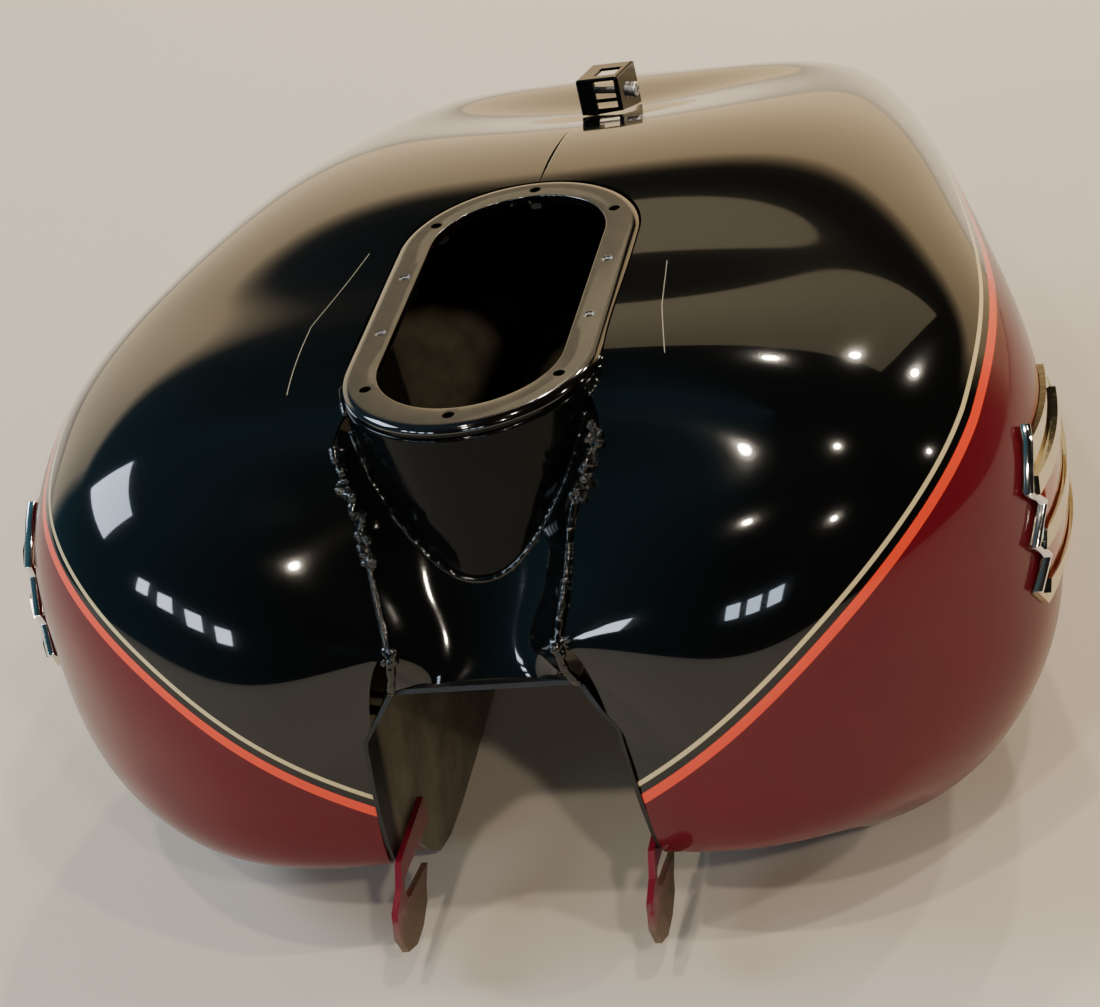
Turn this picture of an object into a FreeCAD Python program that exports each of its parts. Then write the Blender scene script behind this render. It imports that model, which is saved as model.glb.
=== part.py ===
"""Motorcycle fuel tank: two pressed lobes over a frame tunnel, with a pump neck.

Millimetres. The origin is the centre of the pump flange, on its top face.
+X is the tank's right as seen from its front, +Y runs to the rear, +Z is up.
"""
import FreeCAD, Part
import math
import os

V = FreeCAD.Vector
os.makedirs("parts", exist_ok=True)

# ---- sheet and clearances
SKIN = 1.6              # pressed steel of the lobes
TUNNEL_SHEET = 2.0      # heavier sheet of the frame tunnel
PANEL_SHEET = 1.6
NECK_GAP = 0.3          # shell edge to neck collar

# ---- pump neck: a stadium, two half circles joined by straight sides
HOLE_OFFSET = 47.5      # radius of the screw line round each end centre
END_CENTRE = 53.5       # end centres lie this far in front of and behind the origin
RING_OUT = 57.5
RING_IN = 41.5
RING_THICK = 4.0
COLLAR_WALL = 2.0
SCREW_HOLE = 2.65       # radius of the ten clearance holes
SIDE_PITCH = 50.0       # the screws are 50 apart all the way round
NUT_FLATS = 8.0
NUT_HEIGHT = 4.0

# ---- frame tunnel
ROOF_FRONT = -109.0     # roof height at the mouth
ROOF_SLOPE = -0.083     # fall per millimetre towards the rear
MOUTH_Y = -143.0
ROOF_HALF = 42.0
WALL_TOP_HALF = 57.0
CHAMFER_DROP = 22.0
WALL_FOOT_HALF = 66.0
FOOT_Z = -256.0
TUNNEL_SIDE = [(-138, -100), (-143, -110), (-149, -121), (-152, -135), (-153, -153),
               (-152, -172), (-150, -187), (-146, -199), (-139, -205), (-128, -206),
               (-115, -215), (-106, -223), (-96, -235), (-83, -246), (-64, -252), (-38, -254),
               (-4, -253), (34, -251), (107, -246), (153, -239), (197, -231), (237, -222),
               (275, -212), (314, -198), (345, -181), (366, -157), (371, -150), (371, -100)]

# ---- lobe form: stations from the tunnel mouth round the side to the tail.
# Each holds the top edge, the point of greatest girth, the foot inside the
# tunnel wall, and the fullness of the rib above and below the girth.
STATIONS = [
    ((37, -144, -88), (54, -150, -150), (50, -137, -205), 2.0, 2.8),
    ((42, -128, -68), (112, -158, -155), (58, -128, -204), 2.4, 3.5),
    ((46, -112, -47), (155, -144, -150), (60, -115, -212), 3.0, 3.3),
    ((54, -98, -31), (188, -121, -136), (60, -100, -228), 3.4, 2.9),
    ((57, -80, -14), (217, -87, -134), (60, -75, -248), 3.3, 2.6),
    ((30, -40, -2), (234, -40, -136), (60, -30, -251), 3.3, 2.4),
    ((0, 30, -2), (231, 28, -124), (60, 40, -249), 3.9, 2.5),
    ((0, 110, -1), (210, 115, -117), (60, 120, -242), 3.7, 2.5),
    ((0, 190, -12), (179, 225, -106), (58, 200, -228), 3.4, 2.5),
    ((0, 257, -35), (134, 342, -94), (50, 260, -211), 2.8, 2.4),
    ((0, 315, -45), (76, 371, -96), (30, 310, -189), 2.3, 2.4),
    ((0, 366, -64), (0, 376, -108), (0, 352, -168), 1.8, 2.4),
]
CENTRE_STATION = 6      # from here back the top edge lies on the centre plane
RIB_STEPS = 4           # ribs between stations
ARC_STEPS = 8           # points along each half of a rib
PAN_SPLIT = -218.0      # the pressed shell ends here and the floor pan begins

# ---- channel panel between the lobes: edge and centre line, mouth to neck
PANEL_EDGE = [(42, -143.5, -110), (37, -144, -88), (42, -128, -68), (46, -112, -47),
              (54, -98, -31), (57, -80, -14)]
PANEL_CENTRE = [(0, -139, -110.5), (0, -128, -99), (0, -118, -85), (0, -109, -72),
                (0, -96, -54), (0, -80, -34)]

WELD_STAND = (-0.3, -1.1, 1.4)          # how the weld puddles stand out of the joint
WELD_SPACING = 3.5

# ---- mounting ears: hooked plates at the front
EAR_X = 57.4
EAR_THICK = 3.0
EAR_SLOT_R = 5.5
EAR_SLOT_CENTRE = (-149.0, -211.0)      # y, z of the slot's closed end
EAR_OUTLINE = [(-150, -197), (-158, -206), (-170, -210), (-175, -220), (-170, -232),
               (-158, -238), (-145, -238), (-133, -234), (-129, -228), (-120, -222),
               (-104, -214), (-104, -197)]

# ---- rear bracket on the crown
BRACKET_LEFT = -7.0
BRACKET_RIGHT = 15.0
BRACKET_FRONT = 240.0
BRACKET_REAR = 264.0
BRACKET_TOP_FRONT = -9.5
BRACKET_TOP_REAR = -12.0
BRACKET_RAKE = 0.2                       # the cheeks lean to the right by this much rearwards
BRACKET_FOOT = -50.0
BRACKET_SHEET = 1.6
BRACKET_ROOT = 24.0                      # the cheeks are trimmed to the crown by this much depth
BRACKET_SCREW = (255.0, -24.0)           # y, z
BRACKET_SCREW_R = 2.0
BRACKET_HEAD_R = 4.0
BRACKET_NUT_HIGH = 2.6
BRACKET_WINDOW = 11.0                    # width of the windows
UPPER_WINDOW = (1.8, 12.0)               # top and bottom of each, below the front edge
LOWER_WINDOW = (13.4, 17.4)

# ---- side badges
BADGE_PROUD = 5.0
BADGE_OUTLINE = [(-46, -70), (-62, -84), (-52, -95), (-68, -107), (-58, -118), (-72, -129),
                 (-64, -140), (30, -133), (82, -106), (30, -76)]
BADGE_BARS = [[(-56, -80), (20, -82), (20, -88), (-60, -87)],
              [(-62, -103), (64, -103), (70, -107), (64, -111), (-66, -111)],
              [(-66, -126), (20, -126), (20, -132), (-68, -132)]]
BADGE_STUD_Y = (-30.0, 30.0)
BADGE_STUD_Z = -106.0
STUD_R = 2.5
BOSS_R = 6.0

# ---- inside and underneath
BAFFLE_Y = 20.0
BAFFLE_SHEET = 1.5
BAFFLE_OUTLINE = [(50, -231), (110, -228), (160, -208), (200, -160), (205, -90),
                  (180, -48), (100, -28), (60, -28)]
BAFFLE_HOLES = [(95, -70), (95, -190), (160, -120)]
BAFFLE_HOLE_R = 16.0
SPIGOT_X = 84.0         # hose spigots point down out of each floor pan
SPIGOT_Y = 205.0
SPIGOT_R = 4.5
SPIGOT_BORE = 3.0
SPIGOT_FREE = 14.0      # length that a hose covers
SPIGOT_TIP = -246.0
SPIGOT_COLLAR_R = 7.0   # shoulder that the hose stops against
SPIGOT_NECK_R = 5.5     # where it passes through the pan
SPIGOT_TOP = -214.0
VENT_X = 20.0
VENT_Y = 160.0
VENT_R = 3.0
VENT_STUB_R = 3.5       # the lower end is swelled to grip a hose
VENT_STUB = 20.0
VENT_BORE = 2.0
VENT_TOP = -20.0
VENT_FOOT = -165.0

# ---- rear mounting plate
PLATE_HALF = 22.0
PLATE_SHEET = 3.0
PLATE_START = 300.0
PLATE_BEND = 374.0
PLATE_END = 412.0
PLATE_HOLE_Y = 396.0
PLATE_HOLE_R = 4.5


def save(shape, name):
    shape.exportStep("parts/" + name + ".step")
    box = shape.BoundBox
    print(name, "solids", len(shape.Solids), "valid", shape.isValid(),
          "volume cm3 %.2f" % (shape.Volume / 1000), "y %.0f %.0f z %.0f %.0f"
          % (box.YMin, box.YMax, box.ZMin, box.ZMax))


def mirrored(shape):
    return shape.mirror(V(0, 0, 0), V(1, 0, 0))


def rail(points, beyond=()):
    """A smooth curve through the points, with parameter 0, 1, 2... at each."""
    all_points = [V(*p) for p in list(points) + list(beyond)]
    curve = Part.BSplineCurve()
    curve.interpolate(Points=all_points, Parameters=[float(i) for i in range(len(all_points))])
    return curve


def body_rail(column):
    """A rail of the lobe, carried past the tail by its own mirror image."""
    points = [station[column] for station in STATIONS]
    beyond = [(-x, y, z) for x, y, z in (points[-2], points[-3])]
    return rail(points, beyond)


TOP, GIRTH, FOOT = body_rail(0), body_rail(1), body_rail(2)
FULLNESS = rail([(s[3], s[4], 0) for s in STATIONS])
LAST = len(STATIONS) - 1


def skin_point(t, v):
    """Point of the outer skin: t along the stations, v 0 top edge, 1 girth, 2 foot.

    Behind the neck a rib leaves the centre plane squarely, so the two halves
    meet without a crease, and only then sweeps back to its girth point.
    """
    girth = GIRTH.value(t)
    full = FULLNESS.value(t)
    if v <= 1:
        end, power, angle = TOP.value(t), 2 / full.x, v * math.pi / 2
        out, rise = math.sin(angle) ** power, max(math.cos(angle), 0) ** power
        back = out ** (1 + min(max((t - 5) / 3, 0), 1))
    else:
        end, power, angle = FOOT.value(t), 2 / full.y, (v - 1) * math.pi / 2
        out, rise = max(math.cos(angle), 0) ** power, math.sin(angle) ** power
        back = out
    return V(end.x + (girth.x - end.x) * out,
             end.y + (girth.y - end.y) * back,
             girth.z + (end.z - girth.z) * rise)


def skin_normal(t, v):
    """Outward unit normal of the skin, by small differences."""
    dt, dv = 0.02, 0.02
    t0, t1 = max(t - dt, 0), min(t + dt, LAST + 0.5)
    v0, v1 = max(v - dv, 0), min(v + dv, 2)
    along = skin_point(t1, v) - skin_point(t0, v)
    down = skin_point(t, v1) - skin_point(t, v0)
    if along.Length < 1e-6 or down.Length < 1e-6:
        along = skin_point(t1, v + dv) - skin_point(t0, v + dv)
    normal = down.cross(along)
    normal.normalize()
    return normal


def sheet_between(grid_a, grid_b):
    """Closed solid between two point grids of the same size."""
    faces = []
    surfaces = []
    for grid in (grid_a, grid_b):
        surface = Part.BSplineSurface()
        surface.interpolate(grid)
        surfaces.append(surface)
        faces.append(surface.toShape())
    for pick in (lambda s: s.uIso(s.bounds()[0]), lambda s: s.uIso(s.bounds()[1]),
                 lambda s: s.vIso(s.bounds()[2]), lambda s: s.vIso(s.bounds()[3])):
        edge_a, edge_b = pick(surfaces[0]).toShape(), pick(surfaces[1]).toShape()
        faces.append(Part.makeRuledSurface(edge_a, edge_b))
    shell = Part.Compound(faces)
    shell.sewShape(0.01)
    solid = Part.Solid(shell.Shells[0] if shell.Shells else shell)
    if solid.Volume < 0:
        solid.reverse()
    return solid


def skin_grid(offset):
    """Grid of points on the right lobe's skin, moved out by offset."""
    grid = []
    for i in range(LAST * RIB_STEPS + 1):
        t = i / RIB_STEPS
        row = []
        for j in range(2 * ARC_STEPS + 1):
            v = j / ARC_STEPS
            point = skin_point(t, v) + skin_normal(t, v) * offset
            on_centre = (t >= CENTRE_STATION and j == 0) or i == LAST * RIB_STEPS
            if on_centre:
                point.x = 0
            row.append(point)
        grid.append(row)
    return grid


def lobe_layer(low, high):
    """The right lobe's skin as a solid from low to high outside the form."""
    return sheet_between(skin_grid(low), skin_grid(high))


def stadium(radius, z0, z1):
    """Upright stadium prism about the neck axis."""
    c = END_CENTRE
    lines = [Part.LineSegment(V(radius, -c, z0), V(radius, c, z0)),
             Part.Arc(V(radius, c, z0), V(0, c + radius, z0), V(-radius, c, z0)),
             Part.LineSegment(V(-radius, c, z0), V(-radius, -c, z0)),
             Part.Arc(V(-radius, -c, z0), V(0, -c - radius, z0), V(radius, -c, z0))]
    wire = Part.Wire([line.toShape() for line in lines])
    return Part.Face(wire).extrude(V(0, 0, z1 - z0))


def roof_z(y):
    return ROOF_FRONT + (y - MOUTH_Y) * ROOF_SLOPE


def tunnel_prism(inset):
    """The tunnel's outside as a solid, or its inside with an inset."""
    wires = []
    for y in (-190.0, 400.0):
        top = roof_z(y) - inset
        corner = ROOF_HALF - inset * 0.6
        shoulder = WALL_TOP_HALF - inset
        foot = WALL_FOOT_HALF - inset
        half = [(foot + 0.8, FOOT_Z - 12), (shoulder, roof_z(y) - CHAMFER_DROP), (corner, top)]
        points = [V(x, y, z) for x, z in half] + [V(-x, y, z) for x, z in reversed(half)]
        wires.append(Part.makePolygon(points + points[:1]))
    return Part.makeLoft(wires, True, True)


def side_solid(outline, x0, x1):
    """Extrude a y, z outline from x0 to x1."""
    points = [V(x0, y, z) for y, z in outline]
    return Part.Face(Part.makePolygon(points + points[:1])).extrude(V(x1 - x0, 0, 0))


def front_solid(outline, y0, y1):
    """Extrude an x, z outline from y0 to y1."""
    points = [V(x, y0, z) for x, z in outline]
    return Part.Face(Part.makePolygon(points + points[:1])).extrude(V(0, y1 - y0, 0))


def cylinder(radius, length, start, axis):
    return Part.makeCylinder(radius, length, V(*start), V(*axis))


def screw_places():
    """Centres of the ten flange screws."""
    along = math.sqrt(HOLE_OFFSET ** 2 - 42.9 ** 2) + END_CENTRE
    places = [(sx * HOLE_OFFSET, sy * SIDE_PITCH / 2) for sx in (-1, 1) for sy in (-1, 1)]
    places += [(sx * 42.9, sy * along) for sx in (-1, 1) for sy in (-1, 1)]
    places += [(0, sy * (END_CENTRE + HOLE_OFFSET)) for sy in (-1, 1)]
    return places


def pump_flange():
    ring = stadium(RING_OUT, -RING_THICK, 0)
    rim = [e for e in ring.Edges if e.BoundBox.ZMin > -0.01]
    ring = ring.makeFillet(2.2, rim)
    ring = ring.cut(stadium(RING_IN, -RING_THICK - 1, 1))
    inner = [e for e in ring.Edges if e.BoundBox.ZMin > -0.01 and e.BoundBox.XMax < RING_IN + 0.1
             and abs(e.BoundBox.YMax) < END_CENTRE + RING_IN + 0.1 and e.Length > 60]
    ring = ring.makeFillet(0.8, inner)
    for x, y in screw_places():
        ring = ring.cut(cylinder(SCREW_HOLE, RING_THICK + 2, (x, y, -RING_THICK - 1), (0, 0, 1)))
    return ring


def weld_nuts():
    nuts = []
    corner = NUT_FLATS / math.sqrt(3)
    for x, y in screw_places():
        points = [V(x + corner * math.cos(math.radians(60 * k)),
                    y + corner * math.sin(math.radians(60 * k)), -RING_THICK) for k in range(7)]
        nut = Part.Face(Part.makePolygon(points)).extrude(V(0, 0, -NUT_HEIGHT))
        nuts.append(nut.cut(cylinder(2.1, NUT_HEIGHT + 2, (x, y, -RING_THICK + 1), (0, 0, -1))))
    return Part.Compound(nuts)


def neck_collar():
    tube = stadium(RING_OUT, -90, -RING_THICK).cut(stadium(RING_OUT - COLLAR_WALL, -91, 0))
    below = [(-120, 0), (-120, -77), (-104, -77), (-92, -58), (-62, -30), (-20, -16), (120, -14), (120, 0)]
    return tube.common(side_solid(below, -70, 70))


def panel_grid(offset):
    """Grid of the channel panel, moved out by offset."""
    edge, centre = rail(PANEL_EDGE), rail(PANEL_CENTRE)
    steps = (len(PANEL_EDGE) - 1) * 3

    def point(t, u):
        e, c = edge.value(t), centre.value(t)
        rise = abs(u) ** 2.4
        return V(e.x * u, c.y + (e.y - c.y) * rise, c.z + (e.z - c.z) * rise)

    grid = []
    top = len(PANEL_EDGE) - 1
    for i in range(steps + 1):
        t = i / 3
        row = []
        for j in range(17):
            u = j / 8 - 1
            along = point(min(t + 0.05, top), u) - point(max(t - 0.05, 0), u)
            across = point(t, min(u + 0.02, 1)) - point(t, max(u - 0.02, -1))
            normal = across.cross(along)
            normal.normalize()
            row.append(point(t, u) + normal * offset)
        grid.append(row)
    return grid


def channel_panel(shells):
    panel = sheet_between(panel_grid(-PANEL_SHEET), panel_grid(0))
    panel = panel.cut(stadium(RING_OUT + 0.02, -120, 10))
    panel = panel.cut(tunnel_prism(0))
    for shell in shells:
        panel = panel.cut(shell)
    return biggest(panel)


def biggest(shape):
    return max(shape.Solids, key=lambda s: s.Volume)


def tunnel():
    sheet = tunnel_prism(0).cut(tunnel_prism(TUNNEL_SHEET))
    sheet = sheet.common(side_solid(TUNNEL_SIDE, -80, 80))
    return biggest(sheet.cut(vent_tube_solid(VENT_R)))


def mount_ear():
    """Right ear: a hooked plate with a slot that opens to the rear."""
    plate = side_solid(EAR_OUTLINE, EAR_X - EAR_THICK / 2, EAR_X + EAR_THICK / 2)
    y, z = EAR_SLOT_CENTRE
    slot = cylinder(EAR_SLOT_R, 10, (EAR_X - 5, y, z), (1, 0, 0))
    reach = [(y, z + EAR_SLOT_R), (y + 60, z + EAR_SLOT_R - 6), (y + 60, z - EAR_SLOT_R - 12),
             (y, z - EAR_SLOT_R)]
    slot = slot.fuse(side_solid(reach, EAR_X - 5, EAR_X + 5))
    return plate.cut(slot)


def weld_bead(points, radius):
    """A run of overlapping weld puddles along a line of points."""
    bead = None
    for k, point in enumerate(points):
        size = radius * (1.0 + 0.12 * math.sin(2.3 * k + 0.7))
        puddle = Part.makeSphere(size, V(*point) + V(*WELD_STAND))
        bead = puddle if bead is None else bead.fuse(puddle)
    return bead


def along_rail(curve, t0, t1, spacing):
    """Points spaced evenly by length along a rail."""
    edge = curve.toShape(t0, t1)
    count = max(int(edge.Length / spacing), 2)
    return [tuple(p) for p in edge.discretize(Number=count + 1)]


def raked(shape):
    """Lean a shape to the right as it runs rearwards, from the bracket's front."""
    lean = FreeCAD.Matrix()
    lean.A12 = BRACKET_RAKE
    lean.A14 = -BRACKET_RAKE * BRACKET_FRONT
    return shape.transformGeometry(lean)


def square_to_cheek(shape):
    """Turn and shift a shape built on the X axis so that it stands square to the cheeks."""
    y, z = BRACKET_SCREW
    turned = shape.copy()
    turned.rotate(V(BRACKET_RIGHT, y, z), V(0, 0, 1), -math.degrees(math.atan(BRACKET_RAKE)))
    turned.translate(V(BRACKET_RAKE * (y - BRACKET_FRONT), 0, 0))
    return turned


def front_window(top_and_bottom):
    top, bottom = top_and_bottom
    return Part.makeBox(BRACKET_WINDOW, 6, bottom - top,
                        V(BRACKET_LEFT + 9, BRACKET_FRONT - 3, BRACKET_TOP_FRONT - bottom))


def rear_bracket(skin_cutter):
    """Folded box bracket: windowed front, sloping top, two cheeks."""
    side = [(BRACKET_FRONT, BRACKET_FOOT), (BRACKET_REAR, BRACKET_FOOT),
            (BRACKET_REAR, BRACKET_TOP_REAR), (BRACKET_FRONT, BRACKET_TOP_FRONT)]
    s = BRACKET_SHEET
    hollow = [(BRACKET_FRONT + s, BRACKET_FOOT - 2), (BRACKET_REAR + 5, BRACKET_FOOT - 2),
              (BRACKET_REAR + 5, BRACKET_TOP_REAR - s - 0.8),
              (BRACKET_FRONT + s, BRACKET_TOP_FRONT - s)]
    box = side_solid(side, BRACKET_LEFT, BRACKET_RIGHT)
    tall = [e for e in box.Edges if e.BoundBox.YMax < BRACKET_FRONT + 0.1
            or e.BoundBox.ZMin > BRACKET_TOP_REAR - 1]
    box = box.makeFillet(1.2, [e for e in tall if e.Length > 3])
    box = box.cut(side_solid(hollow, BRACKET_LEFT + s, BRACKET_RIGHT - s))
    roof = Part.makeBox(BRACKET_WINDOW, 11, 20,
                        V(BRACKET_LEFT + 8, BRACKET_FRONT + 5, BRACKET_TOP_REAR - 6))
    left = Part.makeBox(6, 11, 30, V(BRACKET_LEFT - 3, BRACKET_FRONT + 17, BRACKET_FOOT))
    for window in (front_window(UPPER_WINDOW), front_window(LOWER_WINDOW), roof, left):
        box = box.cut(window)
    box = raked(box)
    y, z = BRACKET_SCREW
    box = box.cut(square_to_cheek(cylinder(BRACKET_SCREW_R + 0.02, 60, (-20, y, z), (1, 0, 0))))
    for part in skin_cutter:
        box = box.cut(part)
    return biggest(box)


def bracket_screw():
    """Cross-recess screw, built along X and then stood square to the cheeks."""
    y, z = BRACKET_SCREW
    tip = BRACKET_LEFT - 6
    shank = cylinder(BRACKET_SCREW_R, BRACKET_RIGHT - tip, (tip, y, z), (1, 0, 0))
    head = cylinder(BRACKET_HEAD_R, 3.2, (BRACKET_RIGHT, y, z), (1, 0, 0))
    head = head.makeFillet(0.8, [e for e in head.Edges if e.BoundBox.XMin > BRACKET_RIGHT + 3])
    cross = Part.makeBox(3, 5, 1.1, V(BRACKET_RIGHT + 2, y - 2.5, z - 0.55))
    cross = cross.fuse(Part.makeBox(3, 1.1, 5, V(BRACKET_RIGHT + 2, y - 0.55, z - 2.5)))
    return square_to_cheek(shank.fuse(head.cut(cross)))


def bracket_nut():
    """Thin nut outside the left cheek, which lies a little nearer along the raked axis."""
    y, z = BRACKET_SCREW
    x = BRACKET_RIGHT - (BRACKET_RIGHT - BRACKET_LEFT) * math.cos(math.atan(BRACKET_RAKE))
    corner = 7.0 / math.sqrt(3)
    points = [V(x, y + corner * math.cos(math.radians(60 * k)),
                z + corner * math.sin(math.radians(60 * k))) for k in range(7)]
    nut = Part.Face(Part.makePolygon(points)).extrude(V(-BRACKET_NUT_HIGH, 0, 0))
    return square_to_cheek(nut.cut(cylinder(BRACKET_SCREW_R + 0.02, 8, (x - 6, y, z), (1, 0, 0))))


def badge_frame(base, bars):
    frame = base.common(side_solid(BADGE_OUTLINE, 150, 270))
    for outline in BADGE_BARS:
        frame = frame.fuse(bars.common(side_solid(outline, 150, 270)))
    return biggest(frame.removeSplitter())


def badge_inlay(layer):
    """Enamel bands that lie between the badge's bars."""
    bands = [[(-50, -90), (16, -90), (50, -101), (-56, -101)],
             [(-60, -113), (54, -113), (16, -124), (-62, -124)]]
    pieces = [layer.common(side_solid(band, 150, 270)) for band in bands]
    return Part.Compound([s for piece in pieces for s in piece.Solids])


def badge_studs(inner_cut, outer_cut):
    studs = []
    for y in BADGE_STUD_Y:
        boss = cylinder(BOSS_R, 70, (205, y, BADGE_STUD_Z), (1, 0, 0)).cut(inner_cut)
        stud = cylinder(STUD_R, 70, (208, y, BADGE_STUD_Z), (1, 0, 0)).cut(outer_cut)
        inner_boss = min(boss.Solids, key=lambda s: s.BoundBox.XMin)
        inner_stud = min(stud.Solids, key=lambda s: s.BoundBox.XMin)
        studs.append(inner_boss.fuse(inner_stud))
    return Part.Compound(studs)


def baffle():
    plate = front_solid(BAFFLE_OUTLINE, BAFFLE_Y, BAFFLE_Y + BAFFLE_SHEET)
    for x, z in BAFFLE_HOLES:
        plate = plate.cut(cylinder(BAFFLE_HOLE_R, 10, (x, BAFFLE_Y - 4, z), (0, 1, 0)))
    return biggest(plate.cut(tunnel_prism(0)))


def spigot_rod(radius, z0, z1):
    return cylinder(radius, z1 - z0, (SPIGOT_X, SPIGOT_Y, z0), (0, 0, 1))


def crossover_spigot(below_pan):
    """Hose spigot that points down out of the right floor pan, with a shoulder."""
    shoulder = SPIGOT_TIP + SPIGOT_FREE
    spigot = spigot_rod(SPIGOT_R, SPIGOT_TIP, shoulder)
    spigot = spigot.fuse(biggest(spigot_rod(SPIGOT_COLLAR_R, shoulder, SPIGOT_TOP).cut(below_pan)))
    spigot = spigot.fuse(spigot_rod(SPIGOT_NECK_R, shoulder, SPIGOT_TOP))
    return spigot.cut(spigot_rod(SPIGOT_BORE, SPIGOT_TIP - 1, SPIGOT_TOP + 1))


def vent_tube_solid(radius):
    return cylinder(radius, VENT_TOP - VENT_FOOT, (VENT_X, VENT_Y, VENT_FOOT), (0, 0, 1))


def vent_tube():
    stub = cylinder(VENT_STUB_R, VENT_STUB, (VENT_X, VENT_Y, VENT_FOOT), (0, 0, 1))
    return vent_tube_solid(VENT_R).fuse(stub).cut(vent_tube_solid(VENT_BORE))


def rear_mount_plate():
    """Folded plate under the tunnel roof, with a level tab behind the tail."""
    t = TUNNEL_SHEET
    s = PLATE_SHEET
    tab = roof_z(PLATE_BEND) - t - 3
    outline = [(PLATE_START, roof_z(PLATE_START) - t), (PLATE_BEND - 6, roof_z(PLATE_BEND - 6) - t),
               (PLATE_BEND, tab), (PLATE_END, tab), (PLATE_END, tab - s),
               (PLATE_BEND - 1, tab - s), (PLATE_BEND - 7, roof_z(PLATE_BEND - 6) - t - s),
               (PLATE_START, roof_z(PLATE_START) - t - s)]
    plate = side_solid(outline, -PLATE_HALF, PLATE_HALF)
    return plate.cut(cylinder(PLATE_HOLE_R, 30, (0, PLATE_HOLE_Y, tab - 15), (0, 0, 1)))


def build():
    neck_hole = stadium(RING_OUT + NECK_GAP, -120, 20)
    bore = tunnel_prism(0)
    skin = lobe_layer(-SKIN, 0).cut(neck_hole).cut(bore)
    skin = biggest(skin)
    studs = badge_studs(lobe_layer(-SKIN, 30), lobe_layer(0.3, 30))
    for y in BADGE_STUD_Y:
        skin = skin.cut(cylinder(STUD_R, 60, (212, y, BADGE_STUD_Z), (1, 0, 0)))
    upper = Part.makeBox(400, 700, 400, V(-50, -250, PAN_SPLIT))
    lower = Part.makeBox(400, 700, 400, V(-50, -250, PAN_SPLIT - 400))
    right_shell = biggest(skin.common(upper))
    right_pan = biggest(skin.common(lower).cut(spigot_rod(SPIGOT_NECK_R, SPIGOT_TIP, SPIGOT_TOP)))
    left_shell = mirrored(right_shell)
    save(right_shell, "right_shell")
    save(left_shell, "left_shell")
    save(right_pan, "right_bottom_pan")
    save(mirrored(right_pan), "left_bottom_pan")

    floor = tunnel()
    save(floor, "tunnel")
    save(pump_flange(), "pump_flange")
    save(weld_nuts(), "flange_weld_nuts")
    save(neck_collar(), "neck_collar")
    panel = channel_panel((right_shell, left_shell))
    save(panel, "channel_panel")

    ear = mount_ear()
    for other in (floor, right_shell, right_pan):
        ear = ear.cut(other)
    ear = biggest(ear)
    save(ear, "right_mount_ear")
    save(mirrored(ear), "left_mount_ear")
    seam = weld_bead(along_rail(rail(PANEL_EDGE), 1.0, 4.9, WELD_SPACING), 3.0)
    mouth = weld_bead(along_rail(rail(PANEL_EDGE), 0.0, 0.95, WELD_SPACING), 3.2)
    for name, bead in (("seam_weld", seam), ("mouth_weld", mouth)):
        for other in (right_shell, panel, floor, neck_hole):
            bead = bead.cut(other)
        if name == "mouth_weld":
            bead = bead.cut(seam)
        bead = biggest(bead)
        save(bead, "right_" + name)
        save(mirrored(bead), "left_" + name)

    under = lobe_layer(-BRACKET_ROOT, 0)
    save(rear_bracket((under, mirrored(under))), "rear_bracket")
    save(bracket_screw(), "rear_bracket_screw")
    save(bracket_nut(), "rear_bracket_nut")

    frame = badge_frame(lobe_layer(0.3, BADGE_PROUD - 2), lobe_layer(0.3, BADGE_PROUD + 1))
    inlay = badge_inlay(lobe_layer(BADGE_PROUD - 2, BADGE_PROUD - 0.8)).cut(frame)
    inlay = Part.Compound(inlay.Solids)
    for name, shape in (("badge_frame", frame), ("badge_inlay", inlay), ("badge_studs", studs),
                        ("baffle", baffle()), ("crossover_spigot", crossover_spigot(under))):
        save(shape, "right_" + name)
        save(mirrored(shape), "left_" + name)
    save(vent_tube(), "vent_tube")
    save(rear_mount_plate(), "rear_mount_plate")


build()
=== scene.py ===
# %% [markdown]
# # A motorcycle fuel tank
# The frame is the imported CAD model: every part is already in its place, in metres, with
# +Z square to the pump flange, +Y to the rear and +X to the tank's right. This lesson gives
# each part its surface: smooth painted skins, weld beads, worn ears and chrome badges.

# %% Load the frame and note the CAD box
import bpy
import bmesh
import math
import numpy as np
from mathutils import Matrix, Vector
from mathutils.bvhtree import BVHTree


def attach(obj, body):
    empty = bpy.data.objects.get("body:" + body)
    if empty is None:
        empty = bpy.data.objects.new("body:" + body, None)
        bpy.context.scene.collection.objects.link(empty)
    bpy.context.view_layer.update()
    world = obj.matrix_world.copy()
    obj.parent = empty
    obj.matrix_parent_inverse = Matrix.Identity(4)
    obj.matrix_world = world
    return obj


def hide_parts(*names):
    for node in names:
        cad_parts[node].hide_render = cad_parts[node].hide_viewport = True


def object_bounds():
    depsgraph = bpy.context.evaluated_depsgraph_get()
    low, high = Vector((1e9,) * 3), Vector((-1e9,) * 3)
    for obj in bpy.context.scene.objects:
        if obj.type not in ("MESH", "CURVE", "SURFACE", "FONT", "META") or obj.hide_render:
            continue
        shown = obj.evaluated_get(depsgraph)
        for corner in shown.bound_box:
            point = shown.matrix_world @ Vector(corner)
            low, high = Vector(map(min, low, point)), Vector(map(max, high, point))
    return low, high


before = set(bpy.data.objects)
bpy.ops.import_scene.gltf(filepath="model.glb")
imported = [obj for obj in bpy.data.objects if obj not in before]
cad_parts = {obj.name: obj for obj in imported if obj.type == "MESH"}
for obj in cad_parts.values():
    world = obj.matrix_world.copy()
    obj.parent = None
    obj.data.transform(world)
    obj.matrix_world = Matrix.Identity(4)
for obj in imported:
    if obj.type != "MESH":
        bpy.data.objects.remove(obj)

cad_box = [list(corner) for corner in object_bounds()]
print("CAD box", cad_box)
MM = 0.001

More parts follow.
